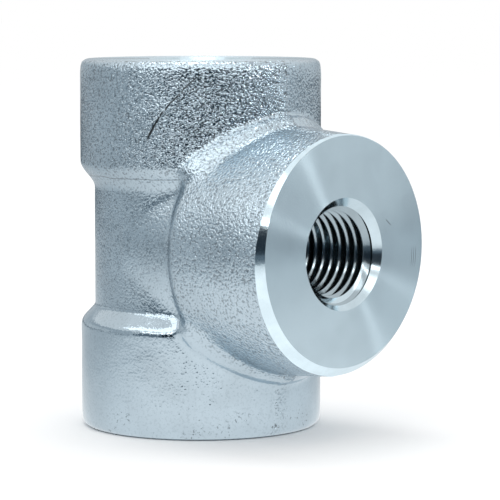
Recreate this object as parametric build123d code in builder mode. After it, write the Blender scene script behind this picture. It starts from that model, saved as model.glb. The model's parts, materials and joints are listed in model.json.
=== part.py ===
from build123d import *
import math
import os

# Forged steel pipe tee with three female taper pipe thread ports, 1/4 in size.
# One solid, in millimetres. The run stands along Z and the branch points along +X.
# The origin is the centre of the lower run face, the face that the tee stands on.

# Driving dimensions of the forging
run_centre_to_end = 25.0
branch_centre_to_end = 26.5
band_radius = 16.5
shoulder_step = 1.9
shoulder_angle = 45.0
band_start = 10.4
crotch_radius = 2.8
branch_draft_angle = 5.0
run_end_radius = 1.3
branch_chamfer = 0.7

# Driving dimensions of the machined ports, at tapping drill size
tap_drill_radius = 5.55
tap_drill_depth = 14.0
drill_point_angle = 118.0
countersink_radius = 7.4
countersink_angle = 90.0
waterway_radius = 4.2

# Sizes that follow from them
run_length = 2 * run_centre_to_end
waist_radius = band_radius - shoulder_step
waist_end = band_start - shoulder_step / math.tan(math.radians(shoulder_angle))
draft_start = band_radius + 1.1 * crotch_radius
branch_face_radius = band_radius - (branch_centre_to_end - draft_start) * math.tan(
    math.radians(branch_draft_angle)
)
countersink_depth = (countersink_radius - tap_drill_radius) / math.tan(
    math.radians(countersink_angle / 2)
)
drill_point_depth = tap_drill_radius / math.tan(math.radians(drill_point_angle / 2))

# The axis of the branch crosses the run at half its height
centre = (0, 0, run_centre_to_end)
branch_axis = Axis(centre, (1, 0, 0))
tee_plane = Plane(origin=centre, x_dir=(1, 0, 0), z_dir=(0, -1, 0))

# The three port faces, each with its normal pointing out of the tee
upper_face = Plane(origin=(0, 0, run_length), z_dir=(0, 0, 1))
lower_face = Plane(origin=(0, 0, 0), z_dir=(0, 0, -1))
branch_face = Plane(origin=(branch_centre_to_end, 0, run_centre_to_end), z_dir=(1, 0, 0))

# Cutter for one port: 90 degree countersink, tapping drill bore and drill point
with BuildPart() as port_cutter:
    with BuildSketch(Plane.XZ):
        with BuildLine():
            Polyline(
                (0, 0),
                (countersink_radius, 0),
                (tap_drill_radius, -countersink_depth),
                (tap_drill_radius, -tap_drill_depth),
                (0, -tap_drill_depth - drill_point_depth),
                close=True,
            )
        make_face()
    revolve(axis=Axis.Z)

with BuildPart() as forged_tee:
    # Run: a band at each end, 45 degree shoulders and the waist between them
    with BuildSketch(tee_plane):
        with BuildLine():
            Polyline(
                (0, -run_centre_to_end),
                (band_radius, -run_centre_to_end),
                (band_radius, -band_start),
                (waist_radius, -waist_end),
                (waist_radius, waist_end),
                (band_radius, band_start),
                (band_radius, run_centre_to_end),
                (0, run_centre_to_end),
                close=True,
            )
        make_face()
    revolve(axis=Axis.Z)

    # Branch: the same band, shoulder and waist, laid along X
    with BuildSketch(tee_plane):
        with BuildLine():
            Polyline(
                (0, 0),
                (0, waist_radius),
                (waist_end, waist_radius),
                (band_start, band_radius),
                (branch_centre_to_end, band_radius),
                (branch_centre_to_end, 0),
                close=True,
            )
        make_face()
    revolve(axis=branch_axis)

    # Forged crotches: every edge where branch and run meet is neither a line nor a circle
    crotch_edges = forged_tee.edges().filter_by(
        lambda edge: edge.geom_type not in (GeomType.LINE, GeomType.CIRCLE)
    )
    fillet(crotch_edges, radius=crotch_radius)

    # Die draft: past the crotches the branch band narrows towards its face
    with BuildSketch(tee_plane):
        with BuildLine():
            Polyline(
                (draft_start, band_radius),
                (branch_centre_to_end, branch_face_radius),
                (branch_centre_to_end, 2 * band_radius),
                (draft_start, 2 * band_radius),
                close=True,
            )
        make_face()
    revolve(axis=branch_axis, mode=Mode.SUBTRACT)

    # The two ends of the run keep the rounded edge of the forging
    run_ends = [forged_tee.faces().sort_by(Axis.Z)[0], forged_tee.faces().sort_by(Axis.Z)[-1]]
    fillet([run_end.outer_wire().edges()[0] for run_end in run_ends], radius=run_end_radius)

    # The end of the branch is turned and chamfered
    branch_end = forged_tee.faces().sort_by(Axis.X)[-1]
    chamfer(branch_end.outer_wire().edges()[0], length=branch_chamfer)

    # Ports, and the smaller waterways that join them
    with Locations(upper_face, lower_face, branch_face):
        add(port_cutter.part, mode=Mode.SUBTRACT)
    with Locations(upper_face):
        Hole(radius=waterway_radius, depth=run_length)
    with Locations(branch_face):
        Hole(radius=waterway_radius, depth=branch_centre_to_end)

forged_tee.part.label = "forged_tee"

os.makedirs("parts", exist_ok=True)
export_step(forged_tee.part, "parts/forged_tee.step")
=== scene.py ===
import json
import math

import bmesh
import bpy
from mathutils import Matrix, Vector


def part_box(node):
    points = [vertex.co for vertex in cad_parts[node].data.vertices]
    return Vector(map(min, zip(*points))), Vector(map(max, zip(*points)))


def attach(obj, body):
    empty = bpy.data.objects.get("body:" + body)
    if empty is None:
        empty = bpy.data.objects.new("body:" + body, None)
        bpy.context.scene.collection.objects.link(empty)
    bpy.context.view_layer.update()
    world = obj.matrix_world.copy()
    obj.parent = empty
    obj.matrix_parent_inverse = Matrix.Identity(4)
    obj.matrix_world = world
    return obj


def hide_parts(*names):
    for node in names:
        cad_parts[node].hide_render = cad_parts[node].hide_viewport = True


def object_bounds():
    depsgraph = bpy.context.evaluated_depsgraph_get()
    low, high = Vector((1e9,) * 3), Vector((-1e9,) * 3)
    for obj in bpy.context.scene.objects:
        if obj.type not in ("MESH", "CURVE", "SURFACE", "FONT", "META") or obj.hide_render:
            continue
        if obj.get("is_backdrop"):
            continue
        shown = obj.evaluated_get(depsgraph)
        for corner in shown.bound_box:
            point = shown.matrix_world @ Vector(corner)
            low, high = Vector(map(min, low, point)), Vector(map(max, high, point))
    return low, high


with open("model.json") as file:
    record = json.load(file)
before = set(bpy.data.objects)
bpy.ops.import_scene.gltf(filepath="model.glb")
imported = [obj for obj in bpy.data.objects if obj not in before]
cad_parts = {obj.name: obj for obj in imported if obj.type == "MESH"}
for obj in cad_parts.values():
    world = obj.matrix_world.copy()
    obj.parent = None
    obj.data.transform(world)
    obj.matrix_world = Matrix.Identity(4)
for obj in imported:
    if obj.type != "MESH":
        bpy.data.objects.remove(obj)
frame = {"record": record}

cad_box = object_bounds()

# The forging. A billet of carbon steel is pressed in a die into three thick collars that
# meet at a slimmer waist. The die leaves round shoulders, rolled crotches and a thin flash
# line, and blasting leaves a pebbled skin. Millimetres, counted from where the axes cross.
MM = 0.001
lowest, highest = (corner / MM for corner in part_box("forged_tee"))
RUN_HALF = (highest.z - lowest.z) / 2
BRANCH_LENGTH = highest.x
COLLAR_RADIUS = highest.y
SHOULDER_STEP = 1.9
WAIST_RADIUS = COLLAR_RADIUS - SHOULDER_STEP
RUN_EDGE_BLEND = 2.6
RUN_END_STOCK = 0.12
BRANCH_END_STOCK = 0.8

# Each shoulder rises from waist to collar between these two distances from the middle
UPPER_SHOULDER = (7.6, 11.1)
LOWER_SHOULDER = (8.5, 10.5)
LOWER_ROUNDING = 0.9
BRANCH_SHOULDER = (8.0, 11.2)

# The branch was pressed a little low, and narrows towards its end so that it leaves the die
BRANCH_DROP = 0.12
DRAFT_START = 18.6
DRAFT_BLEND = 3.0
DRAFT_SLOPE = math.tan(math.radians(4.6))

# A sharp crease between run and branch at the waist opens into a crowned ribbon at the crotch
RIBBON = 1.4
RIBBON_OPENS = (5.5, 11.0)
RIBBON_CROWN = 0.3
CROWN_GROWS = (9.5, 13.0)
VALLEY_BLEND = 1.7
CREASE_BLEND = 0.35
CREASE_EXTRA_BLEND = 1.1
CREASE_WIDENS = (6.0, 8.5)
CREASE_NARROWS = (10.8, 12.4)

# The flash line stands up on one side, and wear takes the rest down. Noise is (scale, size)
FLASH_OFFSET = -1.3
FLASH_FLAT = 0.75
FLASH_HALF_WIDTH = 1.0
FLASH_HEIGHT = 0.11
WEAR = 0.1
WARP = (0.09, 0.16)
RIPPLE = (0.55, 0.06)
WEAR_STOPS = (RUN_HALF - 1.4, RUN_HALF - 0.4)
SKIN_VOXEL = 0.34
VOXEL_MARGIN = 1.2


class Tree:
    """A geometry node tree that is written as formulas."""

    def __init__(self, name, sizes):
        self.group = bpy.data.node_groups.new(name, "GeometryNodeTree")
        self.sizes = sizes
        interface = self.group.interface
        for label, value in sizes.items():
            kind = "NodeSocketInt" if isinstance(value, int) else "NodeSocketFloat"
            interface.new_socket(label, in_out="INPUT", socket_type=kind)
        interface.new_socket("Mesh", in_out="OUTPUT", socket_type="NodeSocketGeometry")
        self.source = self.group.nodes.new("NodeGroupInput")

    def size(self, label):
        return self.source.outputs[label]

    def node(self, kind, inputs=(), **settings):
        made = self.group.nodes.new(kind)
        for key, value in settings.items():
            setattr(made, key, value)
        for name, value in dict(inputs).items():
            self.join(value, made.inputs[name])
        return made

    def join(self, value, socket):
        if isinstance(value, bpy.types.NodeSocket):
            self.group.links.new(value, socket)
        else:
            socket.default_value = value

    def math(self, operation, *values):
        made = self.group.nodes.new("ShaderNodeMath")
        made.operation = operation
        for value, socket in zip(values, made.inputs):
            self.join(value, socket)
        return made.outputs[0]

    def length(self, a, b):
        squares = self.math("MULTIPLY_ADD", a, a, self.math("MULTIPLY", b, b))
        return self.math("SQRT", squares)

    def ramp(self, value, start, end, low, high, smooth=False):
        interpolation = "SMOOTHSTEP" if smooth else "LINEAR"
        made = self.node("ShaderNodeMapRange", interpolation_type=interpolation)
        for socket, item in zip(made.inputs, (value, start, end, low, high)):
            self.join(item, socket)
        return made.outputs[0]

    def noise(self, vector, scale, amount, detail=1.0):
        inputs = {"Vector": vector, "Scale": scale, "Detail": detail}
        made = self.node("ShaderNodeTexNoise", inputs)
        return self.math("MULTIPLY", self.math("SUBTRACT", made.outputs["Fac"], 0.5), amount)

    def finish(self, geometry, material):
        solid = self.node("GeometryNodeRealizeInstances", {"Geometry": geometry})
        inputs = {"Geometry": solid.outputs[0], "Material": material}
        painted = self.node("GeometryNodeSetMaterial", inputs)
        sink = self.group.nodes.new("NodeGroupOutput")
        self.join(painted.outputs[0], sink.inputs[0])

    def mesh(self, name):
        """The tree's result as a plain mesh."""
        holder = bpy.data.objects.new(name, bpy.data.meshes.new(name))
        bpy.context.scene.collection.objects.link(holder)
        modifier = holder.modifiers.new(name, "NODES")
        modifier.node_group = self.group
        for item in self.group.interface.items_tree:
            if item.in_out == "INPUT":
                modifier[item.identifier] = self.sizes[item.name]
        evaluated = holder.evaluated_get(bpy.context.evaluated_depsgraph_get())
        result = bpy.data.meshes.new_from_object(evaluated)
        bpy.data.objects.remove(holder)
        if result.materials[0] is None:
            result.materials.pop(index=0)
        return result


forging_sizes = {
    "Run half length": RUN_HALF + RUN_END_STOCK,
    "Edge blend": RUN_EDGE_BLEND,
    "Branch length": BRANCH_LENGTH + BRANCH_END_STOCK,
    "Collar radius": COLLAR_RADIUS,
    "Waist radius": WAIST_RADIUS,
    "Lower rounding": LOWER_ROUNDING,
    "Ribbon": RIBBON,
    "Ribbon crown": RIBBON_CROWN,
    "Valley blend": VALLEY_BLEND,
    "Crease blend": CREASE_BLEND,
    "Crease extra blend": CREASE_EXTRA_BLEND,
    "Draft start": DRAFT_START,
    "Draft blend": DRAFT_BLEND,
    "Draft slope": DRAFT_SLOPE,
    "Branch drop": BRANCH_DROP,
    "Wear": WEAR,
    "Flash height": FLASH_HEIGHT,
}
forging = Tree("forging", forging_sizes)
point = forging.node("GeometryNodeInputPosition").outputs[0]
x, y, z = forging.node("ShaderNodeSeparateXYZ", {0: point}).outputs
collar, waist = forging.size("Collar radius"), forging.size("Waist radius")
from_middle = forging.math("ABSOLUTE", z)

# The run: distance from its wall, whose radius steps at both shoulders, and from its ends
upper = forging.ramp(z, *UPPER_SHOULDER, waist, collar, smooth=True)
beyond = forging.math("SUBTRACT", forging.math("MULTIPLY", z, -1.0), LOWER_SHOULDER[0])
steepness = SHOULDER_STEP / (LOWER_SHOULDER[1] - LOWER_SHOULDER[0])
rising = forging.math("MULTIPLY_ADD", forging.math("MAXIMUM", beyond, 0.0), steepness, waist)
lower = forging.math("SMOOTH_MIN", rising, collar, forging.size("Lower rounding"))
run_radius = forging.math("MAXIMUM", upper, lower)
run_wall = forging.math("SUBTRACT", forging.length(x, y), run_radius)
run_ends = forging.math("SUBTRACT", from_middle, forging.size("Run half length"))
run = forging.math("SMOOTH_MAX", run_wall, run_ends, forging.size("Edge blend"))

# The branch: the same along X, less its draft
past_start = forging.math("SUBTRACT", x, forging.size("Draft start"))
eased = forging.math("SMOOTH_MAX", past_start, 0.0, forging.size("Draft blend"))
draft = forging.math("MULTIPLY", eased, forging.size("Draft slope"))
branch_profile = forging.ramp(x, *BRANCH_SHOULDER, waist, collar, smooth=True)
branch_radius = forging.math("SUBTRACT", branch_profile, draft)
dropped = forging.math("ADD", z, forging.size("Branch drop"))
branch_wall = forging.math("SUBTRACT", forging.length(y, dropped), branch_radius)
branch_end = forging.math("SUBTRACT", x, forging.size("Branch length"))
branch_root = forging.math("MULTIPLY", x, -1.0)
branch_caps = forging.math("MAXIMUM", branch_end, branch_root)
branch = forging.math("MAXIMUM", branch_wall, branch_caps)

# The crotch: a ribbon lies across the corner between run and branch, and blends into both
ribbon = forging.size("Ribbon")
ribbon_width = forging.ramp(from_middle, *RIBBON_OPENS, 0.0, ribbon, smooth=True)
diagonal = math.sqrt(0.5)
across = forging.math("MULTIPLY", forging.math("ADD", run, branch), diagonal)
beside = forging.math("MULTIPLY", forging.math("SUBTRACT", run, branch), diagonal)
crowning = forging.ramp(
    from_middle, *CROWN_GROWS, 0.0, forging.size("Ribbon crown"), smooth=True
)
crown = forging.math("MULTIPLY", forging.math("MULTIPLY", beside, beside), crowning)
crowned_ribbon = forging.math("ADD", forging.math("SUBTRACT", across, ribbon_width), crown)
neck = forging.math("SMOOTH_MIN", branch, crowned_ribbon, forging.size("Valley blend"))
extra = forging.size("Crease extra blend")
widening = forging.ramp(from_middle, *CREASE_WIDENS, 0.0, extra, smooth=True)
narrowing = forging.ramp(from_middle, *CREASE_NARROWS, 1.0, 0.0, smooth=True)
crease = forging.math("MULTIPLY_ADD", widening, narrowing, forging.size("Crease blend"))
tee = forging.math("SMOOTH_MIN", run, neck, crease)

# Wear goes inwards only, so that nothing stands out past the drawing
warp, ripple = forging.noise(point, *WARP), forging.noise(point, *RIPPLE, detail=2.0)
off_flash = forging.math("ABSOLUTE", forging.math("SUBTRACT", y, FLASH_OFFSET))
flash_height = forging.size("Flash height")
flash = forging.ramp(off_flash, FLASH_FLAT, FLASH_HALF_WIDTH, flash_height, 0.0, smooth=True)
worn = forging.math("ADD", forging.math("ADD", warp, ripple), forging.size("Wear"))
level = forging.math("MAXIMUM", forging.math("SUBTRACT", worn, flash), 0.0)
uneven = forging.math("MULTIPLY", level, forging.ramp(from_middle, *WEAR_STOPS, 1.0, 0.0))
depth = forging.math("MULTIPLY", forging.math("ADD", tee, uneven), -1.0)

side_reach = COLLAR_RADIUS + VOXEL_MARGIN
end_reach = RUN_HALF + BRANCH_END_STOCK + VOXEL_MARGIN
branch_reach = BRANCH_LENGTH + BRANCH_END_STOCK + VOXEL_MARGIN
block_low = (-side_reach, -side_reach, -end_reach)
block_high = (branch_reach, side_reach, end_reach)
block_inputs = {"Density": depth, "Background": -5.0, "Min": block_low, "Max": block_high}
for letter, start, end in zip("XYZ", block_low, block_high):
    block_inputs[f"Resolution {letter}"] = math.ceil((end - start) / SKIN_VOXEL)
block = forging.node("GeometryNodeVolumeCube", block_inputs)
surface_inputs = {"Volume": block.outputs[0], "Threshold": 0.0}
surface = forging.node("GeometryNodeVolumeToMesh", surface_inputs)
skin_steel = bpy.data.materials.new("forged_skin")
forging.finish(surface.outputs[0], skin_steel)
tee_body = bpy.data.objects.new("tee_body", forging.mesh("forging"))
bpy.context.scene.collection.objects.link(tee_body)

# The forging's skin: blue-grey steel, mottled, pebbled by blasting and painted darker in its
# hollows as painted shade.
# The pebbles are coarsest on the upper collar and the branch, and finest on the lower collar.
STEEL = (0.465, 0.56, 0.625, 1)
PEBBLE = 0.34
PEBBLE_RELIEF = 0.1
LOWER_GRAIN, WAIST_GRAIN, UPPER_EXTRA_GRAIN, BRANCH_GRAIN = 0.25, 0.8, 0.7, 1.4
FLASH_GRAIN, FAR_GRAIN = 2.3, 0.6
SEAM_HEIGHT = 9.0
SCRATCH_TOP = 23.5
SCRATCH_START = -12.6
SCRATCH_SLOPE = -1.29
SCRATCH_BEND = 0.049
MARK_DEPTH = 0.03


class Finish:
    """A material that is written as formulas, on the piece's own coordinates in metres."""

    def __init__(self, material, **settings):
        material.use_nodes = True
        self.tree = material.node_tree
        self.shader = self.tree.nodes["Principled BSDF"]
        for label, value in settings.items():
            self.shader.inputs[label.replace("_", " ")].default_value = value
        self.place = self.tree.nodes.new("ShaderNodeTexCoord").outputs["Object"]

    def node(self, kind, inputs=(), **settings):
        made = self.tree.nodes.new(kind)
        for key, value in settings.items():
            setattr(made, key, value)
        for name, value in dict(inputs).items():
            self.join(value, made.inputs[name])
        return made

    def join(self, value, socket):
        if isinstance(value, bpy.types.NodeSocket):
            self.tree.links.new(value, socket)
        else:
            socket.default_value = value

    def math(self, operation, *values):
        made = self.tree.nodes.new("ShaderNodeMath")
        made.operation = operation
        for value, socket in zip(values, made.inputs):
            self.join(value, socket)
        return made.outputs[0]

    def in_mm(self):
        """The three coordinates in millimetres, the height counted from the frame's floor."""
        parts = self.node("ShaderNodeSeparateXYZ", {0: self.place}).outputs
        return [self.math("DIVIDE", part, MM) for part in parts]

    def distance(self, value, centre):
        return self.math("ABSOLUTE", self.math("SUBTRACT", value, centre))

    def length(self, a, b):
        squares = self.math("MULTIPLY_ADD", a, a, self.math("MULTIPLY", b, b))
        return self.math("SQRT", squares)

    def noise(self, size, detail=2.0, roughness=0.5, vector=None, distortion=0.0):
        inputs = {"Vector": vector or self.place, "Scale": 1 / (size * MM), "Detail": detail}
        inputs.update({"Roughness": roughness, "Distortion": distortion})
        return self.node("ShaderNodeTexNoise", inputs).outputs["Fac"]

    def ramp(self, value, start, end, low=0.0, high=1.0):
        made = self.node("ShaderNodeMapRange", interpolation_type="SMOOTHSTEP")
        for socket, item in zip(made.inputs, (value, start, end, low, high)):
            self.join(item, socket)
        return made.outputs[0]

    def mix(self, factor, low, high):
        made = self.node("ShaderNodeMix", data_type="RGBA")
        self.join(factor, made.inputs["Factor"])
        self.join(low, made.inputs["A"])
        self.join(high, made.inputs["B"])
        return made.outputs["Result"]

    def relief(self, height, amount):
        """Bumps of that height in millimetres, on top of those that are there already."""
        made = self.node("ShaderNodeBump", {"Height": height, "Distance": amount * MM})
        made.inputs["Strength"].default_value = 1.0
        if self.shader.inputs["Normal"].is_linked:
            before = self.shader.inputs["Normal"].links[0].from_socket
            self.tree.links.new(before, made.inputs["Normal"])
        self.tree.links.new(made.outputs[0], self.shader.inputs["Normal"])


def scaled(colour, share):
    return tuple(part * share for part in colour[:3]) + (1,)


skin = Finish(skin_steel, Metallic=1.0)
cloud = skin.noise(7.0, detail=3.0)
mottled = skin.mix(skin.ramp(cloud, 0.3, 0.7), scaled(STEEL, 0.93), scaled(STEEL, 1.06))
along_branch, sideways, above_floor = skin.in_mm()
height = skin.math("SUBTRACT", above_floor, RUN_HALF)

# How coarse the pebbles are, by place
lower_part = skin.ramp(height, -11.0, -5.0, LOWER_GRAIN, WAIST_GRAIN)
upper_part = skin.ramp(height, 6.0, 12.0, 0.0, UPPER_EXTRA_GRAIN)
run_grain = skin.math("ADD", lower_part, upper_part)
from_branch_axis = skin.length(sideways, height)
past_crotch = skin.ramp(along_branch, 8.0, 13.0)
on_branch = skin.math("MULTIPLY", past_crotch, skin.ramp(from_branch_axis, 17.5, 16.8))
more = skin.math("MULTIPLY", on_branch, skin.math("SUBTRACT", BRANCH_GRAIN, run_grain))
flash_grain = skin.ramp(skin.distance(sideways, FLASH_OFFSET), 0.8, 1.3, FLASH_GRAIN, 1.0)
grain = skin.math("MULTIPLY", skin.math("ADD", run_grain, more), flash_grain)
grain = skin.math("MULTIPLY", grain, skin.ramp(sideways, -0.6, 0.6, 1.0, FAR_GRAIN))
pebble = skin.noise(PEBBLE, detail=1.0, distortion=0.2)
skin.relief(skin.math("MULTIPLY", pebble, grain), PEBBLE_RELIEF)

# A scratch runs down the upper collar in a bow, broken here and there
around = skin.math("MULTIPLY", skin.math("ARCTAN2", sideways, along_branch), COLLAR_RADIUS)
below_top = skin.math("SUBTRACT", SCRATCH_TOP, height)
bend = skin.math("MULTIPLY_ADD", below_top, SCRATCH_BEND, SCRATCH_SLOPE)
scratch_line = skin.math("MULTIPLY_ADD", below_top, bend, SCRATCH_START)
wander = skin.math("MULTIPLY_ADD", skin.noise(1.1), 0.5, -0.25)
off_line = skin.distance(skin.math("ADD", around, wander), scratch_line)
narrowed = skin.math("DIVIDE", off_line, skin.math("MULTIPLY_ADD", below_top, 0.14, 0.7))
drawn = skin.ramp(narrowed, 0.04, 0.17, 1.0, 0.0)
scratch_end = skin.ramp(below_top, 8.2, 9.2, 1.0, 0.0)
scratch_length = skin.math("MULTIPLY", skin.ramp(below_top, -0.2, 0.4), scratch_end)
broken = skin.ramp(skin.noise(0.7), 0.34, 0.46)
scratch = skin.math("MULTIPLY", skin.math("MULTIPLY", drawn, scratch_length), broken)

# Pits gather round the scratch's foot and at the lower collar's edge
patches = skin.ramp(skin.noise(5.0, detail=1.0), 0.56, 0.7)
by_the_edge = skin.math("MULTIPLY", patches, skin.ramp(height, -20.5, -23.0))
spots = skin.ramp(skin.noise(0.4), 0.62, 0.68, 0.0, 0.7)
at_the_foot = skin.math("MULTIPLY", scratch_length, skin.ramp(below_top, 4.5, 6.0))
bruised = skin.math("MULTIPLY", skin.ramp(off_line, 0.3, 0.8, 1.0, 0.0), at_the_foot)
pits = skin.math("MULTIPLY", spots, skin.math("MAXIMUM", by_the_edge, bruised))

# A fine seam circles the upper shoulder, and stops at the collar and at the branch
seam_height = skin.math("MULTIPLY_ADD", skin.noise(5.0), 0.8, SEAM_HEIGHT)
seam = skin.ramp(skin.distance(height, seam_height), 0.02, 0.1, 0.45, 0.0)
from_run_axis = skin.length(along_branch, sideways)
seam = skin.math("MULTIPLY", seam, skin.ramp(from_run_axis, 16.2, 16.4, 1.0, 0.0))

marks = skin.math("MAXIMUM", scratch, skin.math("MAXIMUM", pits, seam))
# Painted shade: the pebbles' hollows are painted darker, the more so where the pebbles are
# coarser.
hollow_shade_strength = skin.math("MULTIPLY_ADD", skin.math("MINIMUM", grain, 2.0), 0.36, 0.03)
painted_hollow_shade = skin.math("MULTIPLY", skin.ramp(pebble, 0.32, 0.48, 1.0, 0.0), hollow_shade_strength)
shaded = skin.mix(painted_hollow_shade, mottled, scaled(STEEL, 0.25))
skin.join(skin.mix(marks, shaded, scaled(STEEL, 0.06)), skin.shader.inputs["Base Color"])
skin.relief(skin.math("MULTIPLY", marks, -1.0), MARK_DEPTH)
skin.join(skin.ramp(skin.noise(1.2), 0.3, 0.7, 0.04, 0.1), skin.shader.inputs["Roughness"])


# The machined ends. A chuck turns the forging on each axis while one tool faces the end and
# another countersinks and bores the port. The branch's edge is chamfered too, a little off
# centre. The marks that the tools leave run round the port.
CHAMFER = 0.66
CHAMFER_OFFSET = (-0.3, 0.28)
COUNTERSINK_RADIUS = 7.4
BORE_RADIUS = next(
    mount["dims"]["r_mm"]
    for mount in frame["record"]["mounts"]
    if mount["name"] == "branch_port"
)
BORE_DEPTH = 14.0
REAMED_RADIUS = 5.66
REAMED_END_RADIUS = 5.33
REAMED_DEPTH = 13.4
DRILL_POINT = BORE_RADIUS / math.tan(math.radians(59))
WATERWAY_RADIUS = 4.2
WATERWAY_REACH = 20
BRANCH_FACE_RADIUS = COLLAR_RADIUS - (BRANCH_LENGTH - DRAFT_START) * DRAFT_SLOPE
TURNED_SEGMENTS = 160

faced_steel = bpy.data.materials.new("faced_steel")
chamfer_steel = bpy.data.materials.new("chamfered_steel")
bore_steel = bpy.data.materials.new("bored_steel")
deep_shaded_steel = bpy.data.materials.new("drilled_steel_painted_shade")
sunk_steel = bpy.data.materials.new("countersunk_steel")


def turned_tool(name, profile, finishes, off_centre=(0.0, 0.0)):
    """A closed solid of revolution about Z, with a strip of UV map round each cut.

    The rings outside the countersink may stand off centre.
    """
    mesh = bpy.data.meshes.new(name)
    order = list(dict.fromkeys(finishes))
    for finish in order:
        mesh.materials.append(finish)
    work = bmesh.new()
    wrap = work.loops.layers.uv.new("turning")
    turns = [math.tau * step / TURNED_SEGMENTS for step in range(TURNED_SEGMENTS)]
    rings = []
    for radius, along in profile:
        if radius == 0:
            rings.append([work.verts.new((0, 0, along))])
            continue
        aside = Vector((*off_centre, 0) if radius > COUNTERSINK_RADIUS else (0, 0, 0))
        circle = [Vector((radius * math.cos(t), radius * math.sin(t), along)) for t in turns]
        rings.append([work.verts.new(aside + place) for place in circle])
    for (inner, outer), finish in zip(zip(rings, rings[1:] + rings[:1]), finishes):
        if len(inner) == 1 and len(outer) == 1:
            continue
        for step in range(TURNED_SEGMENTS):
            after = (step + 1) % TURNED_SEGMENTS
            corners = [inner[step % len(inner)], outer[step % len(outer)]]
            corners += [outer[after % len(outer)], inner[after % len(inner)]]
            face = work.faces.new(list(dict.fromkeys(corners)))
            face.material_index = order.index(finish)
            face.smooth = True
            middle = (step + 0.5) / TURNED_SEGMENTS
            for loop in face.loops:
                place = loop.vert.co.xy
                turn = math.atan2(place.y, place.x) / math.tau
                turn += round(middle - turn)
                loop[wrap].uv = (turn if place.length else middle, place.length)
    bmesh.ops.recalc_face_normals(work, faces=work.faces)
    work.to_mesh(mesh)
    work.free()
    return mesh


def cut(tool, matrix):
    """Takes the tool's shape out of the tee, and leaves the tool's finish on the cut."""
    cutter = bpy.data.objects.new(tool.name, tool.copy())
    cutter.data.transform(matrix)
    bpy.context.scene.collection.objects.link(cutter)
    modifier = tee_body.modifiers.new(tool.name, "BOOLEAN")
    modifier.operation = "DIFFERENCE"
    modifier.solver = "MANIFOLD"
    modifier.material_mode = "TRANSFER"
    modifier.object = cutter
    bpy.context.view_layer.update()
    depsgraph = bpy.context.evaluated_depsgraph_get()
    result = bpy.data.meshes.new_from_object(tee_body.evaluated_get(depsgraph))
    tee_body.modifiers.clear()
    tee_body.data = result
    bpy.data.objects.remove(cutter)


def facing_profile(edge_radius, chamfer):
    """Drill point, bore, countersink, face and chamfer, and the room that is cut away."""
    reach = COLLAR_RADIUS + 2.5
    clear = BRANCH_END_STOCK + 1.5
    edge = edge_radius - chamfer
    return [
        (0, -BORE_DEPTH - DRILL_POINT),
        (REAMED_END_RADIUS, -BORE_DEPTH),
        (REAMED_END_RADIUS, -REAMED_DEPTH),
        (REAMED_RADIUS, REAMED_RADIUS - COUNTERSINK_RADIUS),
        (COUNTERSINK_RADIUS, 0),
        (edge, 0),
        (reach, edge - reach if chamfer else 0.01),
        (reach, clear),
        (0, clear),
    ]


finishes = [deep_shaded_steel] * 2 + [bore_steel, sunk_steel, faced_steel] + [chamfer_steel] * 4
run_profile = facing_profile(COLLAR_RADIUS, 0)
branch_profile = facing_profile(BRANCH_FACE_RADIUS, CHAMFER)
run_tool = turned_tool("run_end", run_profile, finishes)
branch_tool = turned_tool("branch_end", branch_profile, finishes, CHAMFER_OFFSET)
up = Matrix.Translation((0, 0, RUN_HALF))
down = Matrix.Rotation(math.pi, 4, "X") @ Matrix.Translation((0, 0, RUN_HALF))
along_x = Matrix.Rotation(math.pi / 2, 4, "Y")
out = along_x @ Matrix.Translation((0, 0, BRANCH_LENGTH))
for tool, port in ((run_tool, up), (run_tool, down), (branch_tool, out)):
    cut(tool, port)


def drill(name, start):
    """A drill from that distance to the waterways' reach."""
    side = [(0, start), (WATERWAY_RADIUS, start)]
    side += [(WATERWAY_RADIUS, WATERWAY_REACH), (0, WATERWAY_REACH)]
    return turned_tool(name, side, [deep_shaded_steel] * 4)


cut(drill("run_waterway", -WATERWAY_REACH), Matrix.Identity(4))
cut(drill("branch_waterway", -0.5), along_x)

# Bare turned steel on the faces. Fine grooves round the port stretch every highlight into
# rays. The branch's face has a faint stain, a nick and a patch of tool arcs on its right.
CUT_STEEL = (0.62, 0.745, 0.81, 1)
GROOVE_SPACING = 0.22
GROOVE_DEPTH = 0.004
NICK = (8.6, 28.7)
NICK_LEAN = math.radians(-40)
ARC_RADIUS = 13.8
ARC_HEIGHT = -4.9
MM_PER_METRE = 1000

turned = Finish(
    faced_steel, Metallic=1.0, Roughness=0.24, Anisotropic=1.0, Anisotropic_Rotation=0.25
)
turning = turned.node("ShaderNodeUVMap", uv_map="turning").outputs[0]
circling = turned.node("ShaderNodeTangent", direction_type="UV_MAP", uv_map="turning")
turned.join(circling.outputs[0], turned.shader.inputs["Tangent"])
stain = turned.ramp(turned.noise(6.0), 0.35, 0.7)
plain = turned.mix(stain, CUT_STEEL, scaled(CUT_STEEL, 0.93))
radius = turned.node("ShaderNodeSeparateXYZ", {0: turning}).outputs[1]
rings = turned.node("ShaderNodeCombineXYZ", {"X": radius})
grooves = turned.noise(GROOVE_SPACING * MM_PER_METRE, vector=rings.outputs[0])
turned.relief(grooves, GROOVE_DEPTH)

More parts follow.
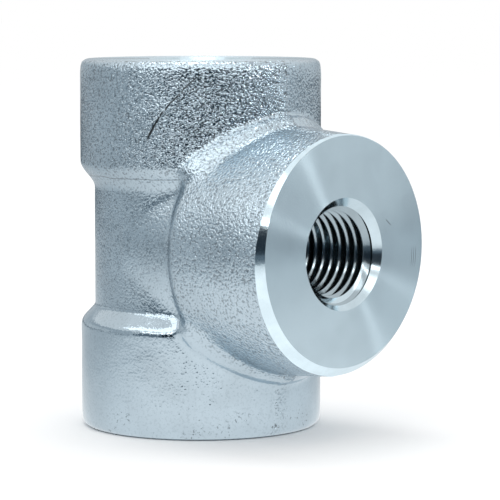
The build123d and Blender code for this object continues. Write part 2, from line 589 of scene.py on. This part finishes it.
out_along, right_of_axis, up_from_floor = turned.in_mm()
on_branch_face = turned.ramp(out_along, 26.0, 26.2)
right = turned.math("SUBTRACT", right_of_axis, NICK[0])
above = turned.math("SUBTRACT", up_from_floor, NICK[1])
cosine, sine = math.cos(NICK_LEAN), math.sin(NICK_LEAN)
lengthwise = turned.math("MULTIPLY_ADD", right, cosine, turned.math("MULTIPLY", above, sine))
widthwise = turned.math("MULTIPLY_ADD", right, -sine, turned.math("MULTIPLY", above, cosine))
nick_length = turned.ramp(turned.math("ABSOLUTE", lengthwise), 0.4, 0.8, 1.0, 0.0)
nick_width = turned.ramp(turned.math("ABSOLUTE", widthwise), 0.03, 0.14, 1.0, 0.0)
nick = turned.math("MULTIPLY", nick_length, nick_width)
arc_length = turned.ramp(turned.distance(above, ARC_HEIGHT), 0.6, 1.6, 1.0, 0.0)
arc_band = turned.ramp(turned.distance(radius, ARC_RADIUS), 0.5, 0.8, 1.0, 0.0)
arc_wave = turned.math("SINE", turned.math("MULTIPLY", radius, 16.0))
arcs = turned.math("MULTIPLY", turned.ramp(arc_wave, 0.5, 1.0, 0.0, 0.7), arc_band)
arc_patch = turned.math("MULTIPLY", arc_length, turned.ramp(right, 0.0, 1.0))
arcs = turned.math("MULTIPLY", arcs, arc_patch)
marked = turned.math("MAXIMUM", turned.math("MULTIPLY", nick, 0.55), arcs)
marked = turned.math("MULTIPLY", marked, on_branch_face)
turned.join(turned.mix(marked, plain, scaled(CUT_STEEL, 0.3)), turned.shader.inputs["Base Color"])


def cut_finish(material, roughness, shade):
    """Bare cut steel with slight blotches and tool marks, its colour scaled by shade. Deep cuts
    are painted darker, as painted shade.
    """
    made = Finish(material, Metallic=1.0, Roughness=roughness)
    blotch = made.ramp(made.noise(2.5, detail=3.0), 0.3, 0.7)
    paint = made.mix(blotch, scaled(CUT_STEEL, shade * 0.95), scaled(CUT_STEEL, shade * 1.05))
    made.join(paint, made.shader.inputs["Base Color"])
    made.relief(made.noise(0.3), 0.003)


# Painted highlight: the chamfer is painted lighter than the face, which is the same turned steel.
cut_finish(chamfer_steel, 0.12, 1.12)
# Painted shade: the countersink, the bore and the drilled waterways are painted darker, and the
# deeper they lie the darker they are.
cut_finish(sunk_steel, 0.14, 0.9)
cut_finish(bore_steel, 0.4, 0.85)
cut_finish(deep_shaded_steel, 0.35, 0.25)


# The threads. A tap cuts a taper pipe thread of 18 turns to the inch into each bore. It
# runs out where the tap's leading turns were ground away, short of the drill point.
PITCH = 25.4 / 18
PITCH_RADIUS = 6.2435
TAPER = 1 / 32
THREAD_HALF_HEIGHT = 0.4 * PITCH
CREST = 0.07
ROOT = 0.05
FLANK = 0.5 - (CREST + ROOT) / 2
FULL_THREAD = 11.2
THREAD_END = 13.2
TURNS_OUTSIDE = 2
END_STEP = 0.4
THREAD_SEGMENTS = 112

tap_sizes = {
    "Pitch": PITCH,
    "Pitch radius": PITCH_RADIUS,
    "Taper": TAPER,
    "Half height": THREAD_HALF_HEIGHT,
    "Bore radius": REAMED_RADIUS + 0.02,
    "Full thread": FULL_THREAD,
    "Thread end": THREAD_END,
    "Segments": THREAD_SEGMENTS,
    "Turns": math.ceil(THREAD_END / PITCH) + TURNS_OUTSIDE + 1,
}
tap = Tree("threading", tap_sizes)

# A grid of points: each column is a place round the axis, and each turn has four rows, at
# both edges of the crest and of the root
columns = tap.math("ADD", tap.size("Segments"), 1)
rows = tap.math("MULTIPLY_ADD", tap.size("Turns"), 4, 1)
grid = tap.node("GeometryNodeMeshGrid", {"Vertices X": rows, "Vertices Y": columns})
index = tap.node("GeometryNodeInputIndex").outputs[0]
row = tap.math("FLOOR", tap.math("DIVIDE", tap.math("ADD", index, 0.5), columns))
column = tap.math("SUBTRACT", index, tap.math("MULTIPLY", row, columns))
part_turn = tap.math("DIVIDE", column, tap.size("Segments"))
corner = tap.math("FLOORED_MODULO", row, 4.0)
turn = tap.math("DIVIDE", tap.math("SUBTRACT", row, corner), 4.0)

# How far along the axis each point lies
past_crest = tap.math("MULTIPLY", tap.math("MINIMUM", corner, 1.0), CREST)
past_first = tap.math("MAXIMUM", tap.math("SUBTRACT", corner, 1.0), 0.0)
on_root = tap.math("MINIMUM", past_first, 1.0)
past_second = tap.math("MAXIMUM", tap.math("SUBTRACT", corner, 2.0), 0.0)
past_root = tap.math("MULTIPLY", past_second, ROOT)
share = tap.math("ADD", past_crest, tap.math("MULTIPLY_ADD", on_root, FLANK, past_root))
along = tap.math("ADD", tap.math("ADD", turn, part_turn), share)
pitch = tap.size("Pitch")
lead_in = tap.math("MULTIPLY", pitch, -float(TURNS_OUTSIDE))
inward = tap.math("MULTIPLY_ADD", along, pitch, lead_in)

# How far from the axis, with the taper, the bore's own wall and the fading last turns
tapered_off = tap.math("MULTIPLY", inward, tap.size("Taper"))
side = tap.math("MULTIPLY_ADD", on_root, 2.0, -1.0)
tooth = tap.math("MULTIPLY", side, tap.size("Half height"))
full = tap.math("ADD", tap.math("SUBTRACT", tap.size("Pitch radius"), tapered_off), tooth)
reamed = tap.math("SUBTRACT", tap.size("Bore radius"), tapered_off)
held = tap.math("MAXIMUM", full, reamed)
fade = tap.ramp(inward, tap.size("Full thread"), tap.size("Thread end"), 0.0, 1.0)
faded = tap.math("MULTIPLY_ADD", fade, tap.math("SUBTRACT", reamed, held), held)
is_last = tap.math("COMPARE", row, tap.math("SUBTRACT", rows, 1.0), 0.5)
from_axis = tap.math("SUBTRACT", faded, tap.math("MULTIPLY", is_last, END_STEP))
angle = tap.math("MULTIPLY", part_turn, math.tau)
spot_inputs = {
    "X": tap.math("MULTIPLY", from_axis, tap.math("COSINE", angle)),
    "Y": tap.math("MULTIPLY", from_axis, tap.math("SINE", angle)),
    "Z": tap.math("MULTIPLY", inward, -1.0),
}
spot = tap.node("ShaderNodeCombineXYZ", spot_inputs).outputs[0]
helix_inputs = {"Geometry": grid.outputs[0], "Position": spot}
helix = tap.node("GeometryNodeSetPosition", helix_inputs).outputs[0]
joined = tap.node("GeometryNodeMergeByDistance", {"Geometry": helix, "Distance": 0.0005})
thread_steel = bpy.data.materials.new("threaded_steel")
tap.finish(joined.outputs[0], thread_steel)
tap_mesh = tap.mesh("tap")
work = bmesh.new()
work.from_mesh(tap_mesh)
rims = [edge for edge in work.edges if edge.is_boundary]
ends = bmesh.ops.holes_fill(work, edges=rims)["faces"]
bmesh.ops.poke(work, faces=ends)
bmesh.ops.recalc_face_normals(work, faces=work.faces)
work.to_mesh(tap_mesh)
work.free()
for port in (up, down, out):
    cut(tap_mesh, port)
# The threads are painted darker than the face, as painted shade inside the bore.
cut_finish(thread_steel, 0.12, 0.62)

# The finished tee goes from its drawing's millimetres to the frame's metres
to_frame = Matrix.Scale(MM, 4) @ Matrix.Translation((0, 0, lowest.z + RUN_HALF))
tee_body.data.transform(to_frame)
tee_body.data.set_sharp_from_angle(angle=math.radians(34))
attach(tee_body, "root")
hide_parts("forged_tee")


# The stage. The tee stands on a pale floor that runs off into white, under a soft light.
# Cards round it, which only reflections see, are dark in front and paler at the sides and
# behind.
FRONT = 45


def on_stage(name, mesh, paint):
    mesh.materials.append(paint)
    thing = bpy.data.objects.new(name, mesh)
    bpy.context.scene.collection.objects.link(thing)
    thing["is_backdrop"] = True
    return thing


def sheet(name, corners, quads=((0, 1, 2, 3),)):
    mesh = bpy.data.meshes.new(name)
    mesh.from_pydata(corners, [], quads)
    return mesh


def level_sheet(name, left, right, near, far, above):
    corners = [(left, near, above), (right, near, above), (right, far, above), (left, far, above)]
    return sheet(name, corners)


white_paper = bpy.data.materials.new("white_paper")
paper = Finish(white_paper)
matt = paper.node("ShaderNodeBsdfDiffuse", {"Color": (1, 1, 1, 1)})
paper.join(matt.outputs[0], paper.tree.nodes["Material Output"].inputs["Surface"])
paper.tree.nodes.remove(paper.shader)
on_stage("floor", level_sheet("floor", -4, 4, -4, 4, 0), white_paper)


def tint(glow):
    """Dim cards are blue-grey and bright ones white."""
    dim = min(glow, 1.0)
    return (glow * dim**0.3, glow * dim**0.12, glow, 1)


def card(name, mesh, glow):
    """A card that only reflections see. Its glow is plain, or (distance, glow) from its middle."""
    paint = bpy.data.materials.new(name)
    paint.use_nodes = True
    tree = paint.node_tree
    tree.nodes.clear()
    shine = tree.nodes.new("ShaderNodeEmission")
    sink = tree.nodes.new("ShaderNodeOutputMaterial")
    tree.links.new(shine.outputs[0], sink.inputs["Surface"])
    if isinstance(glow, list):
        place = tree.nodes.new("ShaderNodeTexCoord").outputs["Object"]
        length = tree.nodes.new("ShaderNodeVectorMath")
        length.operation = "LENGTH"
        tree.links.new(place, length.inputs[0])
        fading = tree.nodes.new("ShaderNodeValToRGB")
        stops = fading.color_ramp.elements
        stops.remove(stops[1])
        stops[0].position, stops[0].color = glow[0][0], tint(glow[0][1])
        for distance, value in glow[1:]:
            stops.new(distance).color = tint(value)
        tree.links.new(length.outputs["Value"], fading.inputs[0])
        tree.links.new(fading.outputs[0], shine.inputs["Color"])
    else:
        shine.inputs["Color"].default_value = tint(glow)
    made = on_stage(name, mesh, paint)
    made.visible_camera = made.visible_diffuse = made.visible_shadow = False
    return made


def round_the_tee(angle, reach, above):
    turn = math.radians(FRONT + angle)
    return (reach * math.sin(turn), -reach * math.cos(turn), above)


def standing_card(name, reach, start, end, bottom, top, glow):
    """A card that curves round the tee from one angle to another."""
    steps = max(1, round(abs(end - start) / 6))
    corners = []
    for step in range(steps + 1):
        angle = start + (end - start) * step / steps
        corners += [round_the_tee(angle, reach, bottom), round_the_tee(angle, reach, top)]
    quads = [(2 * s, 2 * s + 2, 2 * s + 3, 2 * s + 1) for s in range(steps)]
    return card(name, sheet(name, corners, quads), glow)


def lying_card(name, start, end, near, far, above, glow):
    """Part of a ring that lies on the floor."""
    steps = 16
    corners = []
    for step in range(steps + 1):
        angle = start + (end - start) * step / steps
        corners += [round_the_tee(angle, near, above), round_the_tee(angle, far, above)]
    quads = [(2 * s, 2 * s + 1, 2 * s + 3, 2 * s + 2) for s in range(steps)]
    return card(name, sheet(name, corners, quads), glow)


standing_card("surround", 1.1, 62, 294, 0.0, 0.42, 0.62)
standing_card("right_side", 1.0, 84, 140, 0.0, 0.36, 0.88)
standing_card("left_side", 1.0, -140, -95, 0.0, 0.2, 0.76)
standing_card("front_strip", 0.84, -62, 55, 0.3, 0.36, 4.0)
standing_card("dim_front", 0.91, -66, -36, 0.0, 0.22, 0.26)
standing_card("dark_front", 0.9, -36, 62, 0.0, 0.22, 0.04)
standing_card("dark_middle", 0.88, -20, 20, 0.0, 0.3, 0.03)
standing_card("front_top", 0.85, -90, 60, 0.55, 1.1, 2.0)
standing_card("right_lamp", 0.6, 72, 76, 0.245, 0.29, 40.0)
standing_card("small_lamp", 0.6, 58, 61, 0.075, 0.1, 30.0)
lying_card("dark_table", -25, 60, 0.2, 0.6, 0.0006, 0.16)
near_light = [(0.04, 1.12), (0.13, 0.7), (0.25, 0.7), (0.3, 0.62)]
far_light = [(0.45, 0.38), (0.65, 0.14), (0.9, 0.05)]
table_sheet = level_sheet("table_light", -1, 1, -1, 1, 0.0002)
table_light = card("table_light", table_sheet, near_light + far_light)
table_light.location = (0.05, -0.05, 0)
card("overhead", level_sheet("overhead", -0.5, 0.4, -0.5, 0.4, 1.1), 1.35)

world = bpy.data.worlds.new("studio")
bpy.context.scene.world = world
world.use_nodes = True
world.node_tree.nodes["Background"].inputs["Color"].default_value = (1, 1, 1, 1)


def aimed(holder, place, target):
    holder.location = place
    aim = Vector(target) - Vector(place)
    holder.rotation_euler = aim.to_track_quat("-Z", "Y").to_euler()
    bpy.context.scene.collection.objects.link(holder)


lamp = bpy.data.lights.new("top_softbox", "AREA")
lamp.size, lamp.energy = 0.22, 0.6
softbox = bpy.data.objects.new("top_softbox", lamp)
aimed(softbox, (-0.1, 0.05, 0.6), (0, 0, 0.02))
softbox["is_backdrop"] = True

camera_data = bpy.data.cameras.new("camera")
camera_data.lens = 187.6
camera_data.sensor_width = 36
camera_data.clip_start, camera_data.clip_end = 0.01, 20
camera = bpy.data.objects.new("camera", camera_data)
aimed(camera, (0.2526, -0.2505, 0.05857), (0.0049, 0.0046, 0.0238))
bpy.context.scene.camera = camera
bpy.context.scene.view_settings.view_transform = "Standard"

made_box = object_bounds()
[[list(corner) for corner in box] for box in (cad_box, made_box)]
